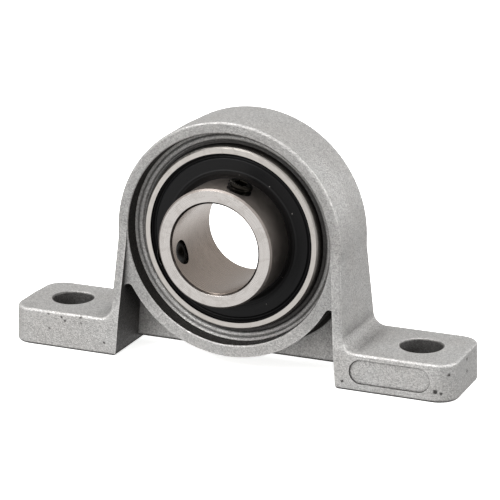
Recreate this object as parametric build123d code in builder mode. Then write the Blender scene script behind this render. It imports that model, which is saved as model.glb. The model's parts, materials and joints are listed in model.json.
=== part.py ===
# Pillow block bearing for a 15 mm shaft. A die-cast housing with two bolt feet holds an insert ball bearing
# in a spherical seat, so that the bearing lines itself up with the shaft. Two set screws in the inner
# ring's collar grip the shaft. Millimetres. The origin is on the base, midway between the bolt holes,
# X runs along the feet, Z points up, and the shaft runs along Y with the collar towards -Y.

from build123d import *
from math import cos, radians, sin, sqrt, tan
import os

os.makedirs("parts", exist_ok=True)

# Inner ring and its collar
shaft_bore = 15.0
collar_wall = 2.45            # bore to the inner ring's outside
collar_reach = 11.0           # ball centres to the collar's end face
tail_reach = 4.3              # ball centres to the inner ring's other end face
inner_groove_depth = 0.76
bore_chamfer = 0.35
collar_chamfer = 0.3

# Balls and outer ring
ball_diameter = 4.7625
ball_count = 9
ball_play = 0.03              # ball to the bottom of each groove
groove_fit = 1.04             # groove radius over ball radius
outer_groove_depth = 0.71
outer_ring_wall = 1.9875      # groove bottom to the spherical outside
outer_ring_chamfer = 0.25

# Riveted ribbon cage
ribbon_thickness = 0.45
ribbon_width = 2.6
pocket_play = 0.08            # ball to its cage pocket
rivet_diameter = 0.8
rivet_head_diameter = 1.5
rivet_head_height = 0.3
rivet_play = 0.02
cage_to_seal = 0.24           # cage's domes to the bays' floors

# Seals
seal_bay_step = 1.0           # bay beyond the outer ring's shoulder
seal_bay_depth = 1.6
seal_notch_depth = 0.25       # undercut that the rim snaps into
seal_notch_width = 0.6
seal_setback = 0.45           # seal face behind the outer ring's face
seal_play = 0.03              # rim to its bay
lip_play = 0.05               # lip to the collar
lip_land = 0.2
lip_length = 0.95             # steel core to the lip's edge
core_thickness = 0.35
core_margin = 0.4             # steel core inside the bay's wall
core_play = 0.01
seal_bead_width = 1.0         # round bead on the face
seal_bead_height = 0.15
seal_bead_inset = 1.9         # bead's middle beyond the collar

# Set screws
screw_diameter = 4.0
screw_length = 3.4
screw_play = 0.02
screw_stand_out = 1.2         # outer end beyond the collar, backed off
screw_inset = 3.2             # screw's axis behind the collar's end face
screw_angle = 72.3            # first screw, above the +X direction
screw_spacing = 125.0
screw_chamfer = 0.3
socket_width = 2.0            # across flats
socket_depth = 1.6
cup_diameter = 2.2
cup_depth = 0.6

# Housing
centre_height = 22.0
seat_offset = 0.3             # ball centres ahead of the housing's parting plane
seat_width = 6.4
seat_play = 0.03              # seat to the outer ring
ledge_width = 2.07            # recess floor round the seat
staked_bead_width = 1.1
staked_bead_height = 0.35
staked_bead_inset = 1.0       # bead's middle beyond the seat's edge
recess_floor_radius = 0.4
recess_mouth_radius = 0.3
arch_wall = 2.1               # recess to the outside of the arch
boss_wall = 2.05              # recess to the outside of the ring, above the pockets
arch_depth = 12.4
arch_draft = 1.3              # degrees, both ways from the parting plane
wall_flare = 4.5              # degrees that the side walls spread towards the base
side_wall = 1.75
web_thickness = 2.0
web_offset = 1.6              # web's middle behind the parting plane
web_clearance = 1.2           # web above the base
pocket_top_radius = 0.85
housing_edge_radius = 0.45

# Feet
bolt_spacing = 63.0
bolt_hole = 7.0
bolt_hole_mouth_radius = 0.3
base_edge_radius = 0.5
foot_heel_radius = 0.7        # lower edge of a foot's inner face
foot_end = 8.0                # bolt hole's axis to the foot's end
foot_depth = 16.0
foot_height = 6.5
foot_corner_radius = 3.5
foot_draft = 1.8              # degrees that the faces lean in
foot_root_radius = 2.0        # foot's top into the side wall
panel_length = 13.7           # bare sunk panel on one foot's front
panel_height = 4.1
panel_depth = 0.3
panel_inset = 2.7             # panel's middle inside the bolt hole's axis
panel_rise = 3.4

# Radii of the insert, from the shaft outwards
bore_radius = shaft_bore / 2
collar_radius = bore_radius + collar_wall
ball_radius = ball_diameter / 2
groove_radius = ball_radius * groove_fit
inner_groove_bottom = collar_radius - inner_groove_depth
ball_circle_radius = inner_groove_bottom + ball_play + ball_radius
outer_groove_bottom = ball_circle_radius + ball_radius + ball_play
shoulder_radius = outer_groove_bottom - outer_groove_depth
sphere_radius = outer_groove_bottom + outer_ring_wall
seal_bay_radius = shoulder_radius + seal_bay_step
pocket_radius = ball_radius + pocket_play
dome_radius = pocket_radius + ribbon_thickness

# Places along the shaft, from the ball centres
seal_floor = dome_radius + cage_to_seal
ring_half = seal_floor + seal_bay_depth
seal_back = seal_floor + seal_play
seal_face = ring_half - seal_setback
ball_centre_y = -seat_offset
screw_y = ball_centre_y - collar_reach + screw_inset

# Radii of the seat and the housing round it
seat_radius = sphere_radius + seat_play
seat_half = seat_width / 2
seat_edge_radius = sqrt(seat_radius**2 - seat_half**2)
recess_radius = seat_edge_radius + ledge_width
arch_radius = recess_radius + arch_wall
boss_radius = recess_radius + boss_wall
arch_half = arch_depth / 2
housing_top = centre_height + arch_radius

# Ring parts are sections turned about the shaft: radius along the section's x, place along its y.
bore_centre = (0, ball_centre_y, centre_height)
shaft_axis = Axis(bore_centre, (0, 1, 0))
ring_section = Plane(origin=bore_centre, x_dir=(1, 0, 0), z_dir=(0, 0, 1))
ball_plane = Plane(origin=bore_centre, x_dir=(1, 0, 0), z_dir=(0, -1, 0))


def wall_x(height, inset=0.0):
    """A side wall's distance from the middle, at a height, inside its outer face by an inset."""
    flare = radians(wall_flare)
    tangent_height = centre_height - arch_radius * sin(flare)
    return arch_radius * cos(flare) + (tangent_height - height) * tan(flare) - inset / cos(flare)


def screw_plane(angle):
    """The plane of a set screw's outer end, facing away from the shaft."""
    outwards = Vector(cos(radians(angle)), 0, sin(radians(angle)))
    middle = Vector(0, screw_y, centre_height) + outwards * (collar_radius + screw_stand_out)
    return Plane(origin=middle, x_dir=(0, 1, 0), z_dir=outwards)


screw_planes = {
    "set_screw_top": screw_plane(screw_angle),
    "set_screw_side": screw_plane(screw_angle + screw_spacing),
}

# Housing
foot_length = bolt_spacing + 2 * foot_end
foot_top_half = foot_depth / 2 - foot_height * tan(radians(foot_draft))
lean = (foot_top_half - arch_half) / (centre_height - foot_height)
base_half = arch_half + lean * centre_height
below = -2.0                  # cuts and outlines start this far under the base

# Feet, side walls and arch seen from the front, ahead of the parting plane and drafted from there
with BuildPart() as front_half:
    with BuildSketch(Plane.XZ) as front_outline:
        with BuildLine():
            flare = radians(wall_flare)
            tangent = (arch_radius * cos(flare), centre_height - arch_radius * sin(flare))
            Polyline(
                (-tangent[0], tangent[1]),
                (-wall_x(foot_height), foot_height),
                (-foot_length, foot_height),
                (-foot_length, below),
                (foot_length, below),
                (foot_length, foot_height),
                (wall_x(foot_height), foot_height),
                tangent,
            )
            ThreePointArc(tangent, (0, housing_top), (-tangent[0], tangent[1]))
        make_face()
        fillet(front_outline.vertices().group_by(Axis.Y)[1].sort_by(Axis.X)[1:3], foot_root_radius)
    extrude(amount=foot_depth)
    outline_faces = front_half.faces().filter_by(Axis.Y, reverse=True)
    outline_faces = outline_faces.filter_by(
        lambda face: face.center().Z > 0 and abs(face.center().X) < foot_length * 0.9
    )
    draft(outline_faces, Plane.XZ, arch_draft)

# The feet seen from above, with the faces leaning in
with BuildPart() as foot_plan:
    with BuildSketch(Plane.XY):
        RectangleRounded(foot_length, foot_depth, foot_corner_radius)
    extrude(amount=housing_top + 1)
    draft(foot_plan.faces().filter_by(Axis.Z, reverse=True), Plane.XY, foot_draft)

with BuildPart() as housing:
    add(front_half.part)
    add(foot_plan.part, mode=Mode.INTERSECT)

    # Seen from the side: the upright leans from the feet's faces to the arch's
    with BuildSketch(Plane.YZ):
        Polygon(
            (-base_half, 0),
            (base_half, 0),
            (arch_half, centre_height),
            (arch_half, housing_top + 1),
            (-arch_half, housing_top + 1),
            (-arch_half, centre_height),
            align=None,
        )
    extrude(amount=foot_length, both=True, mode=Mode.INTERSECT)

    # Soft edges round the front outline and under the feet and walls
    rim = housing.edges().filter_by(
        lambda edge: edge.center().Y < -arch_half * 0.8 and edge.center().Z > foot_height * 0.75
    )
    rim = rim.filter_by(lambda edge: edge.geom_type != GeomType.LINE or abs(edge.center().X) > 1)
    fillet(rim, housing_edge_radius)
    base_edges = housing.edges().filter_by_position(Axis.Z, -0.01, 0.01)
    fillet(base_edges.filter_by_position(Axis.Y, -foot_depth, -0.01), base_edge_radius)

    # Bolt holes with rounded mouths, then the rear half
    with GridLocations(bolt_spacing, 1, 2, 1):
        Hole(bolt_hole / 2)
    bolt_rims = housing.edges(Select.LAST).filter_by_position(Axis.Z, foot_height - 1, foot_height)
    bolt_rims = bolt_rims.filter_by(lambda edge: edge.geom_type != GeomType.LINE)
    fillet(bolt_rims, bolt_hole_mouth_radius)
    mirror(about=Plane.XZ)

    for side in (1, -1):
        # Between the side walls the face stays upright
        with BuildSketch(Plane.XZ.offset(side * arch_half)):
            with Locations((0, centre_height)):
                Circle(arch_radius - side_wall)
            Polygon(
                (-wall_x(below, side_wall), below),
                (wall_x(below, side_wall), below),
                (wall_x(centre_height, side_wall), centre_height),
                (-wall_x(centre_height, side_wall), centre_height),
                align=None,
            )
        extrude(amount=side * foot_depth, mode=Mode.SUBTRACT)

        # Pockets under the ring, open to the face and the base
        web_face = side * web_thickness / 2 - web_offset
        with BuildSketch(Plane.XZ.offset(web_face)) as pocket:
            Polygon(
                (-wall_x(below, side_wall), below),
                (wall_x(below, side_wall), below),
                (wall_x(centre_height, side_wall), centre_height),
                (-wall_x(centre_height, side_wall), centre_height),
                align=None,
            )
            with Locations((0, centre_height)):
                Circle(boss_radius, mode=Mode.SUBTRACT)
            fillet(pocket.vertices().sort_by(Axis.Y)[-2:], pocket_top_radius)
        extrude(amount=side * foot_depth, mode=Mode.SUBTRACT)

    # The web stops above the base
    with BuildSketch(Plane.XZ.offset(-web_offset)):
        Polygon(
            (-wall_x(below, side_wall), below),
            (wall_x(below, side_wall), below),
            (wall_x(web_clearance, side_wall), web_clearance),
            (-wall_x(web_clearance, side_wall), web_clearance),
            align=None,
        )
    extrude(amount=web_thickness, both=True, mode=Mode.SUBTRACT)

    # Spherical seat, staked beads on both sides of it, and a recess to each face
    with BuildSketch(ring_section):
        with BuildLine():
            bead_middle = seat_edge_radius + staked_bead_inset
            bead_start = bead_middle - staked_bead_width / 2
            bead_end = bead_middle + staked_bead_width / 2
            ThreePointArc((seat_edge_radius, -seat_half), (seat_radius, 0), (seat_edge_radius, seat_half))
            for side in (1, -1):
                face = side * arch_half - ball_centre_y
                floor = side * seat_half
                Line((seat_edge_radius, floor), (bead_start, floor))
                ThreePointArc(
                    (bead_start, floor), (bead_middle, floor + side * staked_bead_height), (bead_end, floor)
                )
                Line((bead_end, floor), (recess_radius - recess_floor_radius, floor))
                corner = 1 - sqrt(0.5)
                ThreePointArc(
                    (recess_radius - recess_floor_radius, floor),
                    (
                        recess_radius - recess_floor_radius * corner,
                        floor + side * recess_floor_radius * corner,
                    ),
                    (recess_radius, floor + side * recess_floor_radius),
                )
                Line(
                    (recess_radius, floor + side * recess_floor_radius),
                    (recess_radius, face - side * recess_mouth_radius),
                )
                ThreePointArc(
                    (recess_radius, face - side * recess_mouth_radius),
                    (
                        recess_radius + recess_mouth_radius * corner,
                        face - side * recess_mouth_radius * corner,
                    ),
                    (recess_radius + recess_mouth_radius, face),
                )
                Polyline(
                    (recess_radius + recess_mouth_radius, face),
                    (recess_radius + recess_mouth_radius, face + side),
                    (0, face + side),
                )
            Line((0, arch_half - ball_centre_y + 1), (0, -arch_half - ball_centre_y - 1))
        make_face()
    revolve(axis=shaft_axis, mode=Mode.SUBTRACT)

    # Rounded heel on each foot, by an arc that just crosses both faces
    with BuildSketch(Plane.XZ):
        for side in (1, -1):
            heel = side * wall_x(0, side_wall)
            with Locations((heel, 0)):
                Rectangle(foot_heel_radius * 1.8, foot_heel_radius * 1.8)
            with Locations((heel + side * foot_heel_radius, foot_heel_radius)):
                Circle(foot_heel_radius * 1.03, mode=Mode.SUBTRACT)
    extrude(amount=foot_depth, both=True, mode=Mode.SUBTRACT)

    # Sunk panel, bare
    lean_in = radians(foot_draft)
    panel_middle = (bolt_spacing / 2 - panel_inset, panel_rise * tan(lean_in) - foot_depth / 2, panel_rise)
    with BuildSketch(Plane(origin=panel_middle, x_dir=(1, 0, 0), z_dir=(0, -cos(lean_in), sin(lean_in)))):
        SlotOverall(panel_length, panel_height)
    extrude(amount=-panel_depth, mode=Mode.SUBTRACT)

housing.part.label = "housing"
export_step(housing.part, "parts/housing.step")

# Outer ring, ground to a sphere outside, with a ball groove and a bay at each side for the seals
with BuildPart() as outer_ring:
    with BuildSketch(ring_section):
        with BuildLine():
            groove_offset = shoulder_radius - (outer_groove_bottom - groove_radius)
            groove_half = sqrt(groove_radius**2 - groove_offset**2)
            rim_half = ring_half - outer_ring_chamfer
            rim_radius = sqrt(sphere_radius**2 - rim_half**2)
            ThreePointArc((rim_radius, -rim_half), (sphere_radius, 0), (rim_radius, rim_half))
            ThreePointArc(
                (shoulder_radius, -groove_half), (outer_groove_bottom, 0), (shoulder_radius, groove_half)
            )
            for side in (1, -1):
                Polyline(
                    (shoulder_radius, side * groove_half),
                    (shoulder_radius, side * seal_floor),
                    (seal_bay_radius + seal_notch_depth, side * seal_floor),
                    (seal_bay_radius + seal_notch_depth, side * (seal_floor + seal_notch_width)),
                    (seal_bay_radius, side * (seal_floor + seal_notch_width)),
                    (seal_bay_radius, side * ring_half),
                    (rim_radius - outer_ring_chamfer, side * ring_half),
                    (rim_radius, side * rim_half),
                )
        make_face()
    revolve(axis=shaft_axis)

outer_ring.part.label = "outer_ring"
export_step(outer_ring.part, "parts/outer_ring.step")

# Inner ring, with the collar that holds the set screws
with BuildPart() as inner_ring:
    with BuildSketch(ring_section):
        with BuildLine():
            groove_offset = inner_groove_bottom + groove_radius - collar_radius
            groove_half = sqrt(groove_radius**2 - groove_offset**2)
            ThreePointArc(
                (collar_radius, groove_half), (inner_groove_bottom, 0), (collar_radius, -groove_half)
            )
            Polyline(
                (collar_radius, -groove_half),
                (collar_radius, collar_chamfer - collar_reach),
                (collar_radius - collar_chamfer, -collar_reach),
                (bore_radius + bore_chamfer, -collar_reach),
                (bore_radius, bore_chamfer - collar_reach),
                (bore_radius, tail_reach - bore_chamfer),
                (bore_radius + bore_chamfer, tail_reach),
                (collar_radius - collar_chamfer, tail_reach),
                (collar_radius, tail_reach - collar_chamfer),
                (collar_radius, groove_half),
            )
        make_face()
    revolve(axis=shaft_axis)
    for plane in screw_planes.values():
        with BuildSketch(plane):
            Circle(screw_diameter / 2 + screw_play)
        extrude(amount=-(screw_stand_out + collar_wall + screw_diameter / 2), mode=Mode.SUBTRACT)

inner_ring.part.label = "inner_ring"
export_step(inner_ring.part, "parts/inner_ring.step")

# Balls, the first at the top
for number in range(ball_count):
    turn = radians(90 + number * 360 / ball_count)
    ball_centre = Vector(bore_centre) + Vector(cos(turn), 0, sin(turn)) * ball_circle_radius
    with BuildPart() as ball:
        with Locations(ball_centre):
            Sphere(ball_radius)
    ball.part.label = f"ball_{number + 1}"
    export_step(ball.part, f"parts/ball_{number + 1}.step")

# Cage halves, pressed from ribbon: flat between the balls and domed over each of them
ribbon_inner = ball_circle_radius - ribbon_width / 2
ribbon_outer = ball_circle_radius + ribbon_width / 2
for name, side in (("cage_front_half", 1), ("cage_rear_half", -1)):
    with BuildPart() as cage_half:
        with BuildSketch(ball_plane):
            Circle(ribbon_outer)
        extrude(amount=side * ribbon_thickness)
        with Locations(ball_plane):
            with PolarLocations(ball_circle_radius, ball_count, start_angle=90):
                Sphere(dome_radius)
        with BuildSketch(ball_plane):
            Circle(ribbon_outer)
            Circle(ribbon_inner, mode=Mode.SUBTRACT)
        extrude(amount=side * dome_radius, mode=Mode.INTERSECT)
        with Locations(ball_plane):
            with PolarLocations(ball_circle_radius, ball_count, start_angle=90):
                Sphere(pocket_radius, mode=Mode.SUBTRACT)
        with BuildSketch(ball_plane):
            with PolarLocations(ball_circle_radius, ball_count, start_angle=90 + 180 / ball_count):
                Circle(rivet_diameter / 2 + rivet_play)
        extrude(amount=side * dome_radius, mode=Mode.SUBTRACT)
    cage_half.part.label = name
    export_step(cage_half.part, f"parts/{name}.step")

# Rivets, one between each pair of balls
with BuildPart() as cage_rivets:
    with BuildSketch(ball_plane) as shanks:
        with PolarLocations(ball_circle_radius, ball_count, start_angle=90 + 180 / ball_count):
            Circle(rivet_diameter / 2)
    extrude(amount=ribbon_thickness + rivet_head_height, both=True)
    for side in (1, -1):
        with BuildSketch(ball_plane.offset(side * ribbon_thickness)):
            with PolarLocations(ball_circle_radius, ball_count, start_angle=90 + 180 / ball_count):
                Circle(rivet_head_diameter / 2)
        extrude(amount=side * rivet_head_height, taper=20)

cage_rivets.part.label = "cage_rivets"
export_step(cage_rivets.part, "parts/cage_rivets.step")

# Seals: a steel washer carries moulded rubber that snaps into the outer ring and runs on the inner one
core_outer = seal_bay_radius - core_margin
lip_radius = collar_radius + lip_play
core_inner = lip_radius + lip_length
bead_middle = collar_radius + seal_bead_inset
for position, side in (("front", -1), ("rear", 1)):
    with BuildPart() as seal_core:
        with BuildSketch(ring_section):
            with BuildLine():
                Polyline(
                    (core_inner + core_play, side * seal_back),
                    (core_outer - core_play, side * seal_back),
                    (core_outer - core_play, side * (seal_back + core_thickness)),
                    (core_inner + core_play, side * (seal_back + core_thickness)),
                    close=True,
                )
            make_face()
        revolve(axis=shaft_axis)
    seal_core.part.label = f"seal_{position}_core"
    export_step(seal_core.part, f"parts/seal_{position}_core.step")

    with BuildPart() as seal_rubber:
        with BuildSketch(ring_section):
            with BuildLine():
                rim = seal_bay_radius - seal_play
                rim_bead = rim + seal_notch_depth
                rim_top = seal_floor + seal_notch_width - seal_play
                lip_middle = (seal_back + seal_face) / 2
                Polyline(
                    (bead_middle - seal_bead_width / 2, side * seal_face),
                    (core_inner, side * seal_face),
                    (lip_radius, side * (lip_middle + lip_land)),
                    (lip_radius, side * lip_middle),
                    (core_inner, side * (seal_back + core_thickness)),
                    (core_outer, side * (seal_back + core_thickness)),
                    (core_outer, side * seal_back),
                    (rim_bead, side * seal_back),
                    (rim_bead, side * rim_top),
                    (rim, side * rim_top),
                    (rim, side * (seal_face - seal_play)),
                    (rim - seal_play, side * seal_face),
                    (bead_middle + seal_bead_width / 2, side * seal_face),
                )
                ThreePointArc(
                    (bead_middle + seal_bead_width / 2, side * seal_face),
                    (bead_middle, side * (seal_face + seal_bead_height)),
                    (bead_middle - seal_bead_width / 2, side * seal_face),
                )
            make_face()
        revolve(axis=shaft_axis)
    seal_rubber.part.label = f"seal_{position}_rubber"
    export_step(seal_rubber.part, f"parts/seal_{position}_rubber.step")

# Set screws with a hexagon socket and a cup point
for name, plane in screw_planes.items():
    with BuildPart() as set_screw:
        with BuildSketch(plane):
            Circle(screw_diameter / 2)
        extrude(amount=-screw_length)
        chamfer(set_screw.edges().filter_by(GeomType.CIRCLE), screw_chamfer)
        with BuildSketch(plane):
            RegularPolygon(socket_width / 2, 6, major_radius=False)
        extrude(amount=-socket_depth, mode=Mode.SUBTRACT)
        with BuildSketch(plane.offset(-screw_length)) as cup:
            Circle(cup_diameter / 2)
        extrude(amount=cup_depth, taper=45, mode=Mode.SUBTRACT)
    set_screw.part.label = name
    export_step(set_screw.part, f"parts/{name}.step")
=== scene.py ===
# Pillow block bearing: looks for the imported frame, in metres. X runs along the feet, the shaft along Y
# with the collar towards -Y, Z points up, and the base stands on Z = 0.

import json
import math

import bmesh
import bpy
import numpy as np
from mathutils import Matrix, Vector


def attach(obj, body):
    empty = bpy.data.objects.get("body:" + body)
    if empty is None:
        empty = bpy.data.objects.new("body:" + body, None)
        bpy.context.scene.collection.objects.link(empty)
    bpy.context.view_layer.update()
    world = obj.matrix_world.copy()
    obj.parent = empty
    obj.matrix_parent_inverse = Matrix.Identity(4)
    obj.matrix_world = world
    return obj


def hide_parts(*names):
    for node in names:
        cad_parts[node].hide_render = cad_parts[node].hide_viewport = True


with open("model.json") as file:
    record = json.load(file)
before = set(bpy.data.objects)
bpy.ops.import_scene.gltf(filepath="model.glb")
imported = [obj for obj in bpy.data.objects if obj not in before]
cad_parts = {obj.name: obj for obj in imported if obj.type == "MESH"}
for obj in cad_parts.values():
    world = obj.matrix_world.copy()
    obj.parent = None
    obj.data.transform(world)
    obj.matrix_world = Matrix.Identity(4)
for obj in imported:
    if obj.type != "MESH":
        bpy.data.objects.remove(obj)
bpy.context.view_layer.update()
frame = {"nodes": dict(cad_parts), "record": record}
print("frame loaded:", len(frame["nodes"]), "nodes")

mm = 0.001
bearing = {"centre": (0.0, -0.3, 22.0), "collarRadius": 9.95}  # mm, as the frame has them


def srgb(code):
    # Hex colour as seen on a screen, turned to the linear values that the shader adds up
    parts = [int(code[i:i + 2], 16) / 255 for i in (1, 3, 5)]
    return [p / 12.92 if p <= 0.04045 else ((p + 0.055) / 1.055) ** 2.4 for p in parts] + [1.0]


def addNode(tree, kind, inputs=None, **options):
    # A node with its options set, and each input given a value or joined to another node's output
    node = tree.nodes.new(kind)
    for key, value in options.items():
        setattr(node, key, value)
    for key, value in (inputs or {}).items():
        if isinstance(value, bpy.types.NodeSocket):
            tree.links.new(value, node.inputs[key])
        else:
            node.inputs[key].default_value = value
    return node


def calc(tree, operation, *values, clamp=False):
    # The result of a sum on numbers and other nodes' outputs
    node = addNode(tree, "ShaderNodeMath", dict(enumerate(values)), operation=operation, use_clamp=clamp)
    return node.outputs[0]


def ramp(tree, value, start, stop, low=0.0, high=1.0, unit=1.0, interpolation="LINEAR"):
    # Goes from low to high while the value goes from start to stop, and stays there
    node = addNode(tree, "ShaderNodeMapRange", {
        "Value": value, "From Min": start * unit, "From Max": stop * unit, "To Min": low, "To Max": high,
    }, interpolation_type=interpolation)
    return node.outputs[0]


def blend(tree, share, first, second, kind="MIX"):
    # Two colours mixed, or the first one multiplied by the second
    node = addNode(tree, "ShaderNodeMix", {0: share, 6: first, 7: second}, data_type="RGBA", blend_type=kind)
    return node.outputs[2]


def blendNumber(tree, share, first, second):
    return addNode(tree, "ShaderNodeMix", {0: share, 2: first, 3: second}, data_type="FLOAT").outputs[0]


def noise(tree, place, scale, detail, roughness=0.5, distortion=0.0):
    node = addNode(tree, "ShaderNodeTexNoise", {
        "Vector": place, "Scale": scale, "Detail": detail, "Roughness": roughness, "Distortion": distortion})
    return node.outputs[0]


def openness(tree, distance, onlyLocal=False, inside=False):
    # 1 where nothing is near, falling towards 0 in a corner. Inside the metal: falls towards an edge
    node = addNode(tree, "ShaderNodeAmbientOcclusion", {"Distance": distance * mm}, samples=8,
                   only_local=onlyLocal, inside=inside)
    return node.outputs["AO"]


def axes(tree, vector):
    return addNode(tree, "ShaderNodeSeparateXYZ", {0: vector}).outputs


def joined(tree, *parts):
    return addNode(tree, "ShaderNodeCombineXYZ", dict(enumerate(parts))).outputs[0]


def lengthOf(tree, vector):
    return addNode(tree, "ShaderNodeVectorMath", {0: vector}, operation="LENGTH").outputs["Value"]


def turnedCoords(tree, place):
    # Distance from the shaft's axis, angle round it and place along it, for marks that run round a ring
    centre = [-c * mm for c in bearing["centre"]]
    moved = addNode(tree, "ShaderNodeMapping", {"Location": centre, "Vector": place}).outputs[0]
    x, along, z = axes(tree, moved)
    return lengthOf(tree, joined(tree, x, 0.0, z)), calc(tree, "ARCTAN2", z, x), along


def newMaterial(name, values):
    # A material whose shader has the given constants, with the object coordinates ready for its patterns
    material = bpy.data.materials.new(name)
    material.use_nodes = True
    tree = material.node_tree
    shader = tree.nodes["Principled BSDF"]
    for key, value in values.items():
        shader.inputs[key].default_value = value
    place = addNode(tree, "ShaderNodeTexCoord").outputs["Object"]
    return material, tree, shader, place


def finishShader(tree, shader, color, roughness, height, strength, depth):
    # Joins colour and roughness to the shader, and the height pattern as a bump of a depth in mm
    bump = addNode(tree, "ShaderNodeBump", {"Height": height, "Strength": strength, "Distance": depth * mm})
    for name, source in (("Base Color", color), ("Roughness", roughness), ("Normal", bump.outputs[0])):
        tree.links.new(source, shader.inputs[name])


# Housing: zinc alloy, die cast and then blasted. The eye sees an even grey skin of fine grains that
# glint one by one, brighter where handling has rubbed the edges and with a painted highlight where such
# an edge looks up, with small dark pits of painted shade on the feet, painted shade in the hollows and
# the fronts of the feet painted lighter.
# Sizes and places are in mm. A pair holds the two ends of a ramp, the mark's beginning first.
castZinc = {
    "skin": "#aeaead", "warmSkin": "#a5a29f", "rubAndHighlight": "#eae8e5", "pitShade": "#4a4846", "shadeColor": "#211f1d",
    "recess": "#3b3937", "metallic": 0.8, "roughness": (0.39, 0.67), "rubbedRoughness": 0.34,
    "bumpStrength": 0.55, "bumpDepth": 0.10, "bumpFine": 0.6,
    # size of the grains, likely coarser than the real ones so that they show, and of finer and wider marks
    "grain": 0.17, "fine": 0.22, "blotch": 7.0, "dark": 0.73, "light": 1.26,
    # painted light: the fronts of the feet are lighter by this share, fading out at this height
    "frontLight": 0.24, "frontLightFade": (10.0, 8.0),
    # rubbed edges: worn metal, with a painted highlight where the edge looks up
    "rubWidth": 0.44, "rubOpen": (0.92, 0.62), "highlightUp": (-0.1, 0.5), "highlightDown": 0.1,
    "rubBroken": 1.1, "rubFine": 0.8, "rubNoise": (0.84, 0.98), "rubLeast": 0.12,
    # painted shade in corners, and what is left of it on the web and in the recess
    "corner": 7.0, "cornerOpen": (0.86, 0.42), "cornerShade": 0.95, "webShade": 0.42, "recessDirt": 0.1,
    # painted shade on the walls of pockets and bolt holes
    "inwardProduct": (-6.0, -14.0), "boltX": 31.5, "holeRim": (3.7, 3.52), "pocketWall": 0.72,
    # painted shadow where the web meets the boss
    "bossRadius": 19.83, "bossShadow": (0.15, 0.72), "bossAcross": (-8.0, 14.0), "bossUp": (-1.5, 7.0),
    "bossBlur": 0.15, "wallX": 19.5, "webY": 1.6, "webHalf": 1.05,
    # painted shade: dark lines in creases and along lower edges
    "crease": 0.7, "creaseOpen": (0.60, 0.42), "creaseShade": 0.9,
    "lowerEdge": (0.45, 0.1), "lowerShade": 0.95, "webBottom": 1.2, "wallBottom": -0.5,
    # painted shade on the recess floor next to the insert, wider on the right, and the turned wall round it,
    # painted dark for reflection and shade
    "insertShadeBand": (16.6, 16.1), "insertShadeLean": -0.018, "insertShadeStrength": 0.88,
    "recessRadius": 17.78, "recessOut": 0.1, "recessWall": 0.06,
    # place and radius of each pit, and how far its ragged rim reaches
    "pitNoise": 0.5, "pitRim": (0.37, 0.13),
    "pits": [((38.44, -6.8, 4.67), 0.25), ((36.56, -7.89, 1.91), 0.38), ((37.47, -7.62, 1.62), 0.22),
             ((20.88, -7.95, 1.5), 0.24), ((39.33, -0.43, 5.37), 0.28), ((39.39, -0.45, 3.34), 0.28),
             ((-32.24, -7.9, 5.85), 0.2), ((-29.77, -7.9, 5.55), 0.2), ((-29.12, -7.9, 4.96), 0.18),
             ((-26.14, -7.9, 5.98), 0.22), ((-32.08, -7.9, 3.25), 0.16), ((-26.05, -7.9, 4.97), 0.16),
             ((-21.75, -7.9, 2.11), 0.2)],
}


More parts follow.
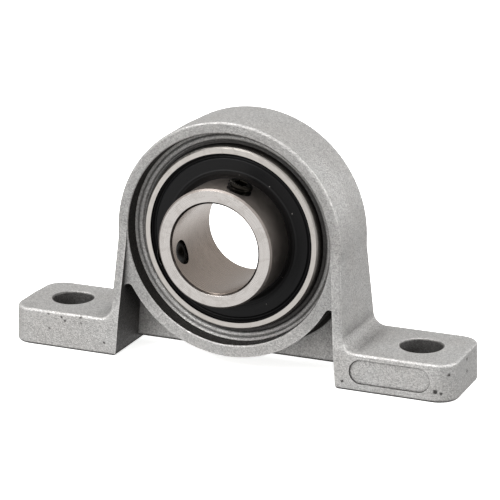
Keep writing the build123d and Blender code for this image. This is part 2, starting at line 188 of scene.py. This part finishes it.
def castShade(tree, place, normal, faced):
    # How much painted shade each spot of the casting gets, from 0 to 1
    c = castZinc
    x, y, z = axes(tree, place)
    radius = turnedCoords(tree, place)[0]
    outside = calc(tree, "GREATER_THAN", radius, (c["recessRadius"] + c["recessOut"]) * mm)
    between = calc(tree, "COMPARE", x, 0.0, c["wallX"] * mm)
    onWeb = calc(tree, "COMPARE", y, c["webY"] * mm, c["webHalf"] * mm)
    facingBetweenWalls = calc(tree, "MULTIPLY", between, faced)
    # painted shade darkens the corners, less so on the web where it faces front or back between the walls,
    # and hardly in the recess
    corners = ramp(tree, openness(tree, c["corner"], onlyLocal=True), *c["cornerOpen"], high=c["cornerShade"])
    corners = calc(tree, "MULTIPLY", corners, ramp(tree, facingBetweenWalls, 0, 1, 1.0, c["webShade"]))
    corners = calc(tree, "MULTIPLY", corners, ramp(tree, outside, 0, 1, c["recessDirt"], 1.0))
    # painted shade: the pocket walls, which face inwards, are dark all over: there the product of place and
    # normal along X is negative. So are the walls of the bolt holes
    product = calc(tree, "MULTIPLY", x, axes(tree, normal)[0])
    pockets = calc(tree, "MULTIPLY", ramp(tree, product, *c["inwardProduct"], unit=mm), outside)
    fromBolt = calc(tree, "SUBTRACT", calc(tree, "ABSOLUTE", x), c["boltX"] * mm)
    holes = ramp(tree, lengthOf(tree, joined(tree, fromBolt, y)), *c["holeRim"], unit=mm)
    inward = calc(tree, "MAXIMUM", pockets, holes)
    walls = calc(tree, "MULTIPLY", inward, c["pocketWall"])
    # painted shadow in the corner of web and boss, a band that grows wider upwards and to the right
    rightness = ramp(tree, x, *c["bossAcross"], *c["bossShadow"], unit=mm)
    upness = ramp(tree, z, *c["bossUp"], high=mm, unit=mm)
    reach = calc(tree, "MULTIPLY_ADD", upness, rightness, c["bossRadius"] * mm)
    band = ramp(tree, calc(tree, "SUBTRACT", reach, radius), -c["bossBlur"], c["bossBlur"], unit=mm)
    band = calc(tree, "MULTIPLY", calc(tree, "MULTIPLY", band, onWeb), facingBetweenWalls)
    # painted shade: a dark line along the lower edges of the feet and of the web
    webBottom = calc(tree, "MULTIPLY", calc(tree, "MULTIPLY", onWeb, between), c["webBottom"] * mm)
    rise = calc(tree, "SUBTRACT", z, webBottom)
    rise = calc(tree, "MULTIPLY_ADD", inward, c["wallBottom"] * mm, rise)
    lower = ramp(tree, rise, *c["lowerEdge"], high=c["lowerShade"], unit=mm)
    # painted shade darkens the creases outside the recess too, and the recess floor next to the insert
    creases = ramp(tree, openness(tree, c["crease"]), *c["creaseOpen"], high=c["creaseShade"])
    creases = calc(tree, "MULTIPLY", creases, outside)
    # painted shade on the recess floor next to the insert, wider on the right
    leaning = calc(tree, "MULTIPLY_ADD", x, c["insertShadeLean"], radius)
    insertShade = ramp(tree, leaning, *c["insertShadeBand"], high=c["insertShadeStrength"], unit=mm)
    paintedShade = corners
    for mark in (walls, band, creases, insertShade, lower):
        paintedShade = calc(tree, "MAXIMUM", paintedShade, mark)
    return paintedShade, radius


def makeCastZinc():
    c = castZinc
    material, tree, shader, place = newMaterial("blastedDieCastZinc", {"Metallic": c["metallic"]})
    normal = addNode(tree, "ShaderNodeNewGeometry").outputs["Normal"]
    faced = calc(tree, "ABSOLUTE", axes(tree, normal)[1])
    grain = addNode(tree, "ShaderNodeTexVoronoi", {
        "Vector": place, "Scale": 1 / (c["grain"] * mm), "Randomness": 1.0})
    grainTone, grainGloss = addNode(tree, "ShaderNodeSeparateColor", {0: grain.outputs["Color"]}).outputs[:2]
    fine = noise(tree, place, 1 / (c["fine"] * mm), detail=2.0, roughness=0.6)
    # each grain is a little lighter or darker than the next, and the fronts of the feet are painted lighter
    blotch = noise(tree, place, 1 / (c["blotch"] * mm), detail=3.0)
    skin = blend(tree, blotch, srgb(c["skin"]), srgb(c["warmSkin"]))
    skin = blend(tree, 1.0, skin, ramp(tree, grainTone, 0, 1, c["dark"], c["light"]), "MULTIPLY")
    low = ramp(tree, axes(tree, place)[2], *c["frontLightFade"], high=c["frontLight"], unit=mm)
    skin = blend(tree, 1.0, skin, calc(tree, "MULTIPLY_ADD", low, faced, 1.0), "MULTIPLY")
    # rubbed edges, partly wear and partly a painted highlight: where the metal under the surface is thin,
    # most of all where the edge looks up towards the lamps
    edge = ramp(tree, openness(tree, c["rubWidth"], onlyLocal=True, inside=True), *c["rubOpen"])
    upwardHighlight = ramp(tree, axes(tree, normal)[2], *c["highlightUp"], low=c["highlightDown"])
    broken = noise(tree, place, 1 / (c["rubBroken"] * mm), detail=3.0)
    glint = calc(tree, "MULTIPLY_ADD", fine, c["rubFine"], broken)
    patchy = ramp(tree, glint, *c["rubNoise"], low=c["rubLeast"])
    rubAndGlint = calc(tree, "MULTIPLY", calc(tree, "MULTIPLY", edge, upwardHighlight), patchy, clamp=True)
    skin = blend(tree, rubAndGlint, skin, srgb(c["rubAndHighlight"]))
    # dark pits of painted shade, as they aren't cut, ragged at the rim: the distance from each one's middle,
    # disturbed by the fine noise
    for pitPlace, pitRadius in c["pits"]:
        middle = [p * mm for p in pitPlace]
        away = addNode(tree, "ShaderNodeVectorMath", {0: place, 1: middle}, operation="DISTANCE")
        ragged = calc(tree, "MULTIPLY_ADD", fine, c["pitNoise"] * mm, away.outputs["Value"])
        inPit = ramp(tree, ragged, pitRadius + c["pitRim"][0], pitRadius + c["pitRim"][1], unit=mm)
        skin = blend(tree, inPit, skin, srgb(c["pitShade"]))
    paintedShade, radius = castShade(tree, place, normal, faced)
    # painted shade: the skin darkened towards the shade colour
    skin = blend(tree, paintedShade, skin, srgb(c["shadeColor"]))
    # painted reflection and shade: the recess wall was turned, not blasted, and is coloured dark for the
    # black seal its smooth metal mirrors and the shade it lies in
    turned = calc(tree, "COMPARE", radius, c["recessRadius"] * mm, c["recessWall"] * mm)
    skin = blend(tree, turned, skin, srgb(c["recess"]))
    roughness = blendNumber(tree, rubAndGlint, ramp(tree, grainGloss, 0, 1, *c["roughness"]), c["rubbedRoughness"])
    height = calc(tree, "MULTIPLY_ADD", fine, c["bumpFine"], grain.outputs["Distance"])
    finishShader(tree, shader, skin, roughness, height, c["bumpStrength"], c["bumpDepth"])
    return material


# Rings: hardened bearing steel, ground. The eye sees a warm light grey with fine marks running round
# the ring, dull enough on the faces to look even and glossy on the outside. Sizes are in mm.
groundSteel = {
    # a bore of 0 and a rim of 99 lie off the outer ring, so it has neither mark
    # dust holds the share of painted shade on what lies down in the recess
    "outer": {"name": "groundBearingSteel", "color": "#d3cec8", "roughness": (0.24, 0.40), "lines": 0.10,
              "bump": 0.03, "oil": 0.25, "dust": 0.95, "bore": 0.0, "rim": 99.0},
    "inner": {"name": "oiledBearingSteel", "color": "#d8d3cf", "roughness": (0.20, 0.36), "lines": 0.12,
              "bump": 0.015, "oil": 0.35, "dust": 0.0, "bore": 7.52, "rim": 9.66},
    "both": {"turns": 3.0, "cloud": 5.0, "cloudShare": 0.5, "roughNoise": (0.45, 1.05),
             "toneNoise": (0.3, 0.7), "tone": (0.90, 1.04), "bumpStrength": 0.35,
             # the bore by height, and the dark line at its edge
             "boreTop": "#fbf7f4", "boreBottom": "#c2b7ae", "boreFade": (27.5, 18.5),
             "boreEdge": "#37322f", "boreEdgeWidth": 0.30,
             "oilColor": "#8c837a", "oilSize": 2.2, "oilNoise": (0.50, 0.60), "oilShare": 0.45,
             "oilRoughness": 0.12,
             "hollowShadeColor": "#2b2725", "hollowShadeReach": 2.5, "hollowShadeOpen": (0.85, 0.55),
             "rimShade": "#b2adaa", "rimRougher": 0.16},
}


def makeGroundSteel(ring):
    c = {**groundSteel["both"], **groundSteel[ring]}
    material, tree, shader, place = newMaterial(c["name"], {"Metallic": 1.0})
    radius, angle, along = turnedCoords(tree, place)
    # grinding lines about 0.1 mm apart, far coarser than real grit marks so that they show
    lineSpace = joined(tree, calc(tree, "MULTIPLY", radius, 1 / (c["lines"] * mm)),
                       calc(tree, "MULTIPLY", along, 1 / (c["lines"] * mm)),
                       calc(tree, "MULTIPLY", angle, c["turns"]))
    lines = noise(tree, lineSpace, 1.0, detail=3.0, roughness=0.65)
    cloud = noise(tree, place, 1 / (c["cloud"] * mm), detail=2.0)
    mixed = calc(tree, "MULTIPLY_ADD", cloud, c["cloudShare"], lines)
    roughness = ramp(tree, mixed, *c["roughNoise"], *c["roughness"])
    color = blend(tree, 1.0, srgb(c["color"]), ramp(tree, lines, *c["toneNoise"], *c["tone"]), "MULTIPLY")
    # painted light on the bore: lighter at the top and browner towards the bottom, with a dark line at its
    # chamfered edge
    inBore = calc(tree, "LESS_THAN", radius, c["bore"] * mm)
    sunk = ramp(tree, axes(tree, place)[2], *c["boreFade"], unit=mm)
    boreShading = blend(tree, sunk, srgb(c["boreTop"]), srgb(c["boreBottom"]))
    color = blend(tree, inBore, color, boreShading, "MULTIPLY")
    halfEdge = c["boreEdgeWidth"] / 2
    atEdge = calc(tree, "COMPARE", radius, (c["bore"] + halfEdge) * mm, halfEdge * mm)
    color = blend(tree, atEdge, color, srgb(c["boreEdge"]))
    # thin smears of preserving oil: glossier, browner and a little darker
    smear = noise(tree, place, 1 / (c["oilSize"] * mm), detail=4.0, distortion=1.2)
    film = ramp(tree, smear, *c["oilNoise"], high=c["oilShare"] * c["oil"])
    color = blend(tree, film, color, srgb(c["oilColor"]))
    roughness = blendNumber(tree, film, roughness, c["oilRoughness"])
    # painted shade: what lies down in the recess is coloured darker
    hollowShade = ramp(tree, openness(tree, c["hollowShadeReach"]), *c["hollowShadeOpen"], high=c["dust"])
    color = blend(tree, hollowShade, color, srgb(c["hollowShadeColor"]))
    # painted shade: the outside of the collar is coloured darker and browner to dim its highlight, and it is
    # coarser than its ground face
    beyond = calc(tree, "GREATER_THAN", radius, c["rim"] * mm)
    color = blend(tree, beyond, color, srgb(c["rimShade"]), "MULTIPLY")
    roughness = calc(tree, "MULTIPLY_ADD", beyond, c["rimRougher"], roughness)
    finishShader(tree, shader, color, roughness, lines, c["bumpStrength"], c["bump"])
    return material


# Seals: nitrile rubber moulded on a steel washer. The eye sees satin black with faint rings and a few
# pale specks of dust. Sizes are in mm.
nitrile = {
    "color": "#0b0b0c", "dust": "#8d8a86", "ior": 1.52, "specular": 0.22, "roughness": (0.38, 0.56),
    "rings": 0.35, "turns": 1.5, "ringNoise": (0.3, 0.7), "pores": 0.12, "dustSpacing": 2.2,
    "dustSize": 0.035, "poreShare": 0.25, "bumpStrength": 0.3, "bumpDepth": 0.05,
}


def makeNitrile():
    c = nitrile
    material, tree, shader, place = newMaterial(
        "mouldedNitrileRubber", {"IOR": c["ior"], "Specular IOR Level": c["specular"]})
    radius, angle = turnedCoords(tree, place)[:2]
    space = joined(tree, calc(tree, "MULTIPLY", radius, 1 / (c["rings"] * mm)), 0.0,
                   calc(tree, "MULTIPLY", angle, c["turns"]))
    rings = noise(tree, space, 1.0, detail=2.0)
    pores = noise(tree, place, 1 / (c["pores"] * mm), detail=2.0)
    specks = addNode(tree, "ShaderNodeTexVoronoi", {"Vector": place, "Scale": 1 / (c["dustSpacing"] * mm)})
    isSpeck = calc(tree, "LESS_THAN", specks.outputs["Distance"], c["dustSize"])
    color = blend(tree, isSpeck, srgb(c["color"]), srgb(c["dust"]))
    roughness = ramp(tree, rings, *c["ringNoise"], *c["roughness"])
    height = calc(tree, "MULTIPLY_ADD", pores, c["poreShare"], rings)
    finishShader(tree, shader, color, roughness, height, c["bumpStrength"], c["bumpDepth"])
    return material


# Small parts: metals that differ in colour, gloss and the marks their making left. Grain and bump in mm.
smallMetals = {
    "balls": {"name": "polishedChromeSteel", "color": "#dcdcdc", "roughness": (0.04, 0.09), "grain": 1.2,
              "bump": 0.0},
    "cage": {"name": "pressedStripSteel", "color": "#b9b5af", "roughness": (0.28, 0.42), "grain": 0.4,
             "bump": 0.02},
    "rivets": {"name": "upsetWireSteel", "color": "#aeaaa4", "roughness": (0.32, 0.45), "grain": 0.3,
               "bump": 0.02},
    "seal_core": {"name": "blankedWasherSteel", "color": "#8f8f8e", "roughness": (0.35, 0.5), "grain": 0.5,
                  "bump": 0.02},
    "set_screws": {"name": "blackOxideSteel", "color": "#1c1a17", "roughness": (0.26, 0.48), "grain": 0.25,
                   "bump": 0.02},
}
smallMarks = {"noise": (0.3, 0.7), "tone": (0.85, 1.1), "bumpStrength": 0.4}


def makeSmallMetal(c):
    material, tree, shader, place = newMaterial(c["name"], {"Metallic": 1.0})
    grain = noise(tree, place, 1 / (c["grain"] * mm), detail=3.0)
    roughness = ramp(tree, grain, *smallMarks["noise"], *c["roughness"])
    tone = ramp(tree, grain, *smallMarks["noise"], *smallMarks["tone"])
    color = blend(tree, 1.0, srgb(c["color"]), tone, "MULTIPLY")
    finishShader(tree, shader, color, roughness, grain, smallMarks["bumpStrength"], c["bump"])
    return material


materials = {
    "housing": makeCastZinc(),
    "outer_ring": makeGroundSteel("outer"),
    "inner_ring": makeGroundSteel("inner"),
    "seal_rubber": makeNitrile(),
}
for slotName, values in smallMetals.items():
    materials[slotName] = makeSmallMetal(values)

slotOf = {row["node"]: row["material_slot"] for row in frame["record"]["subparts"]}
for nodeName, node in frame["nodes"].items():
    for materialSlot in node.material_slots:
        materialSlot.material = materials[slotOf[nodeName]]
print("materials made:", len(materials))

creaseAngle = math.radians(32)


def makePiece(name, points, material, body, closed, caps=()):
    # Joins a grid of points into a surface: rows follow the profile, columns run round and meet again. A
    # closed profile meets itself, and an open one is capped with one point at each end. All in millimetres.
    rows, columns = points.shape[:2]
    index = np.arange(rows * columns).reshape(rows, columns)
    if closed:
        index = np.vstack([index, index[:1]])
    index = np.hstack([index, index[:, :1]])
    quads = np.stack([index[:-1, :-1], index[:-1, 1:], index[1:, 1:], index[1:, :-1]], -1).reshape(-1, 4)
    faces = quads.tolist()
    vertices = points.reshape(-1, 3) * mm
    if caps:
        for number, ring in ((0, index[0]), (1, index[-1])):
            tip = np.full(columns, rows * columns + number)
            faces += np.stack([ring[:-1], ring[1:], tip], -1).tolist()
        vertices = np.vstack([vertices, np.array(caps) * mm])
    mesh = bpy.data.meshes.new(name)
    mesh.from_pydata(vertices.tolist(), [], faces)
    work = bmesh.new()
    work.from_mesh(mesh)
    bmesh.ops.recalc_face_normals(work, faces=work.faces)
    work.to_mesh(mesh)
    work.free()
    mesh.shade_smooth()
    mesh.set_sharp_from_angle(angle=creaseAngle)
    mesh.materials.append(material)
    piece = bpy.data.objects.new(name, mesh)
    bpy.context.scene.collection.objects.link(piece)
    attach(piece, body)
    return piece


# Seal rubbers, turned: the rim's bead sits in the outer ring's notch, then a moulded groove inside the
# rim, a flat face, a round bead and a thin lip on the inner ring. Radius and place in mm.
sealShape = {
    "steps": 180, "faceRows": 90, "lipRows": 13, "face": 4.30, "back": 3.1813, "rim": 14.2725,
    "rimBead": 14.5225, "rimTop": 3.7213, "rimRound": 0.06, "groove": (13.35, 14.1), "grooveDepth": 0.34,
    "grooveCurve": 0.6, "bead": (11.0, 11.6), "beadHeight": 0.07, "lip": 10.0, "lipPlace": 3.7413,
    "lipLand": 0.16, "lipCurve": 1.5, "root": 10.95, "coreTop": 3.5413, "coreRim": 13.9025,
}


def wave(radii, limits):
    # Rises from 0 to 1 and falls back to 0 between two radii
    share = np.clip((radii - limits[0]) / (limits[1] - limits[0]), 0, 1)
    return 0.5 - 0.5 * np.cos(2 * np.pi * share)


def sealPoints(side):
    # A closed profile: straight runs at the back, and a face whose height is the flat one less a
    # half-cosine groove, plus a half-cosine bead, falling along a quarter wave to the lip
    c = sealShape
    r = np.linspace(c["rim"] - c["rimRound"], c["root"], c["faceRows"])
    height = c["face"] - c["grooveDepth"] * wave(r, c["groove"]) ** c["grooveCurve"]
    height = height + c["beadHeight"] * wave(r, c["bead"])
    lipShare = np.linspace(0, 1, c["lipRows"] + 1)[1:]
    lipR = c["root"] + (c["lip"] - c["root"]) * lipShare
    lipFall = np.sin(lipShare * np.pi / 2) ** c["lipCurve"]
    lipH = c["face"] + (c["lipPlace"] + c["lipLand"] - c["face"]) * lipFall
    back = [(c["lip"], c["lipPlace"]), (c["root"], c["coreTop"]), (c["coreRim"], c["coreTop"]),
            (c["coreRim"], c["back"]), (c["rimBead"], c["back"]), (c["rimBead"], c["rimTop"]),
            (c["rim"], c["rimTop"]), (c["rim"], c["face"] - c["rimRound"])]
    profile = np.vstack([np.column_stack([r, height]), np.column_stack([lipR, lipH]), back])
    turn = np.linspace(0, 2 * np.pi, c["steps"], endpoint=False)[None, :]
    x, y, z = bearing["centre"]
    radius, place = profile[:, :1], profile[:, 1:]
    return np.stack([x + radius * np.cos(turn), y + side * place + 0 * turn, z + radius * np.sin(turn)], -1)


for sealName, side in (("front", -1), ("rear", 1)):
    rubber = makePiece(f"sealRubber_{sealName}", sealPoints(side), materials["seal_rubber"],
                       "insert", True)
    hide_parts(f"seal_{sealName}_rubber")
print("seals turned")

# Set screws, M4 with a 2 mm hexagon socket and a cup point. Sizes in mm, depths from the outer end.
screwShape = {
    "columns": 96, "radius": 2.0, "length": 3.4, "pitch": 0.7, "pitchRows": 12, "threadDepth": 0.43,
    "crest": 0.125, "flank": 0.75, "runOut": 0.2, "chamfer": 0.3, "edgeRound": 0.02,
    "socket": 2.0, "socketDepth": 1.6, "socketMouth": 0.12, "socketCone": 0.25,
    "cup": 1.1, "cupDepth": 0.6, "cupRound": 0.03, "standOut": 1.2, "axisPlace": -8.1,
    # shares of the radius nearby, for the rows that keep the edges crisp, and the cup's row halfway down
    "floorShare": 0.98, "endShare": 0.97, "cupShare": 1.06, "cupHalf": 0.5,
    "angles": {"set_screw_top": 72.3, "set_screw_side": 197.3},
}


def screwPoints(angle):
    # Rows from the socket's floor up its six walls, over the outer end, down the thread and into the cup. A
    # hexagon's radius is its half width over the cosine of the angle from the nearest flat's middle; a
    # thread's is the full radius less a flat-topped wave of depth over pitch plus the turn round the axis
    c = screwShape
    end = c["length"]
    turn = np.linspace(0, 2 * np.pi, c["columns"], endpoint=False)
    hexagon = c["socket"] / 2 / np.cos((turn + np.pi / 6) % (np.pi / 3) - np.pi / 6)
    lastRow = end - c["chamfer"] + 0.01  # a little over, so that the last row isn't left out
    depths = np.arange(c["chamfer"], lastRow, c["pitch"] / c["pitchRows"])[:, None]
    saw = np.abs(2 * ((depths / c["pitch"] + turn / (2 * np.pi)) % 1) - 1)
    cut = np.clip((saw - c["crest"]) / c["flank"], 0, 1)
    fromEnds = np.minimum(depths - c["chamfer"], end - c["chamfer"] - depths)
    thread = c["radius"] - c["threadDepth"] * cut * np.clip(fromEnds / c["runOut"], 0, 1)
    narrow = (c["radius"] - c["chamfer"]) * np.ones_like(turn)
    cup = c["cup"] * np.ones_like(turn)
    radii = np.vstack([hexagon * c["floorShare"], hexagon, hexagon, hexagon + c["socketMouth"],
                       narrow * c["endShare"], narrow, thread, narrow,
                       cup * c["cupShare"], cup, cup * c["cupHalf"]])
    rowDepths = np.concatenate([
        [c["socketDepth"], c["socketDepth"] - c["edgeRound"], c["socketMouth"], 0.0, 0.0, c["edgeRound"]],
        depths[:, 0], [end, end, end - c["cupRound"], end - c["cupDepth"] * c["cupHalf"]]])
    out = np.array([math.cos(math.radians(angle)), 0.0, math.sin(math.radians(angle))])
    along = np.array([0.0, 1.0, 0.0])
    around = np.cross(out, along)
    centreX, centreZ = bearing["centre"][0], bearing["centre"][2]
    head = np.array([centreX, c["axisPlace"], centreZ]) + out * (bearing["collarRadius"] + c["standOut"])
    points = (head + radii[..., None] * (np.cos(turn)[:, None] * along + np.sin(turn)[:, None] * around)
              - rowDepths[:, None, None] * out)
    caps = [head - out * (c["socketDepth"] + c["socketCone"]), head - out * (end - c["cupDepth"])]
    return points, caps


for screwName, angle in screwShape["angles"].items():
    points, caps = screwPoints(angle)
    screw = makePiece(f"threaded_{screwName}", points, materials["set_screws"], screwName,
                      False, caps)
    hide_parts(screwName)
print("set screws threaded")

# Floor, light and camera, in metres. The camera's target and distance are in mm, its angles in degrees
studio = {
    "floor": "#fcfcfb", "floorSize": 6.0, "floorRoughness": 0.9, "glow": 0.80,
    "skyTowards": (-0.25, -0.66, 0.71), "skyHigh": 1.02, "skyLow": 0.42,
    "belowFade": (-0.95, -0.5), "belowLeast": 0.05,
    "tableTowards": (-0.10, 0.87, -0.48), "tableSpread": 0.70, "tableGlow": 0.45,
    "lampAim": (0, 0, 0.02),
    "key": {"place": (-0.40, -0.55, 0.70), "size": 0.55, "power": 7.5},
    "side": {"place": (0.80, 0.30, 0.40), "size": 0.5, "power": 5.0},
    "top": {"place": (0.10, 0.10, 0.9), "size": 0.6, "power": 2.0},
}
camera = {
    "azimuth": 23.14, "elevation": 17.02, "distance": 374.16, "target": (1.42, 0.0, 18.91),
    "focalPixels": 2273.75, "imagePixels": 500, "sensor": 36.0, "clip": (0.01, 20.0),
}


def makeFloor():
    half = studio["floorSize"] / 2
    corners = [(-half, -half, 0), (half, -half, 0), (half, half, 0), (-half, half, 0)]
    mesh = bpy.data.meshes.new("studioFloor")
    mesh.from_pydata(corners, [], [(0, 1, 2, 3)])
    paint = newMaterial("lightTable", {
        "Roughness": studio["floorRoughness"], "Base Color": srgb(studio["floor"]),
        "Emission Color": srgb(studio["floor"]), "Emission Strength": studio["glow"]})[0]
    mesh.materials.append(paint)
    floor = bpy.data.objects.new("studioFloor", mesh)
    bpy.context.scene.collection.objects.link(floor)
    # the sky's lower half stands in for its light
    floor.visible_diffuse = floor.visible_glossy = False


def makeSky():
    world = bpy.data.worlds.new("studioLight")
    bpy.context.scene.world = world
    world.use_nodes = True
    tree = world.node_tree
    sky = tree.nodes["Background"]
    sky.inputs["Color"].default_value = (1, 1, 1, 1)
    # brightest ahead of the front and above, darkest behind and below: by the cosine from that direction
    ray = addNode(tree, "ShaderNodeTexCoord").outputs["Generated"]
    ahead = addNode(tree, "ShaderNodeVectorMath", {0: ray, 1: studio["skyTowards"]},
                    operation="DOT_PRODUCT")
    level = ramp(tree, ahead.outputs["Value"], -1.0, 1.0, studio["skyLow"], studio["skyHigh"],
                 interpolation="SMOOTHSTEP")
    below = ramp(tree, axes(tree, ray)[2], *studio["belowFade"], low=studio["belowLeast"])
    strength = calc(tree, "MULTIPLY", level, below)
    # and the pale table behind the object shines up into the bore
    behind = addNode(tree, "ShaderNodeVectorMath", {0: ray, 1: studio["tableTowards"]},
                     operation="DOT_PRODUCT")
    table = ramp(tree, behind.outputs["Value"], studio["tableSpread"], 1.0, high=studio["tableGlow"],
                 interpolation="SMOOTHSTEP")
    tree.links.new(calc(tree, "ADD", strength, table), sky.inputs["Strength"])


def makeLamp(name):
    lamp = bpy.data.lights.new(name, "AREA")
    lamp.size = studio[name]["size"]
    lamp.energy = studio[name]["power"]
    holder = bpy.data.objects.new(name, lamp)
    holder.location = studio[name]["place"]
    aim = Vector(studio["lampAim"]) - holder.location
    holder.rotation_euler = aim.to_track_quat("-Z", "Y").to_euler()
    bpy.context.scene.collection.objects.link(holder)


def makeCamera():
    lens = bpy.data.cameras.new("photoView")
    lens.lens = camera["sensor"] * camera["focalPixels"] / camera["imagePixels"]
    lens.sensor_width = camera["sensor"]
    lens.clip_start, lens.clip_end = camera["clip"]
    azimuth, elevation = math.radians(camera["azimuth"]), math.radians(camera["elevation"])
    level = math.cos(elevation)
    back = Vector((math.sin(azimuth) * level, -math.cos(azimuth) * level, math.sin(elevation)))
    viewer = bpy.data.objects.new("photoView", lens)
    viewer.location = (Vector(camera["target"]) + back * camera["distance"]) * mm
    viewer.rotation_euler = (-back).to_track_quat("-Z", "Y").to_euler()
    bpy.context.scene.collection.objects.link(viewer)
    bpy.context.scene.camera = viewer


makeFloor()
makeSky()
for lampName in ("key", "side", "top"):
    makeLamp(lampName)
makeCamera()
bpy.context.scene.view_settings.view_transform = "Standard"  # colours as the hex values give them
print("studio set up")
